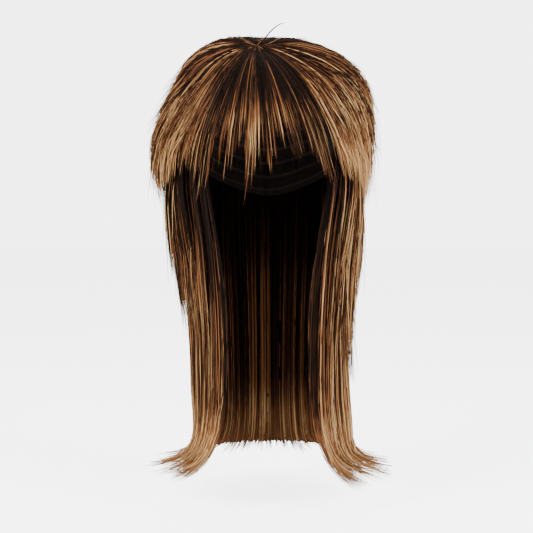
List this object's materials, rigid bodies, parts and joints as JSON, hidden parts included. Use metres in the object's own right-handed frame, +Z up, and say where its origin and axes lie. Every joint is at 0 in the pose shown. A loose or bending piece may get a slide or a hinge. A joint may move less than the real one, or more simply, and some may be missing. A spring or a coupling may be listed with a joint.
{
  "type": "long layered wig",
  "caption": "Long shag wig on a stretch-net cap: full rounded crown and thin fringe over layered straight hair with flipped-out ends, worn on the head as false hair.",
  "frame": {"origin": "crown of the head, where it meets the inside of the cap", "axes": "+Z up, -Y towards the face, +X to the wearer's left"},
  "size_m": [0.2563, 0.2516, 0.4793],
  "materials": {
    "cap_net": "matt dark brown stretch net",
    "hair": "silky brown synthetic hair with caramel and blonde streaks"
  },
  "bodies": {
    "root": {"cap": "cap_net", "crown_hair": "hair", "fringe": "hair", "upper_hair_left": "hair", "upper_hair_back": "hair", "upper_hair_right": "hair", "lower_hair_left": "hair", "lower_hair_back": "hair", "lower_hair_right": "hair", "long_hair_left": "hair", "long_hair_back": "hair", "long_hair_right": "hair"}
  },
  "joints": []
}
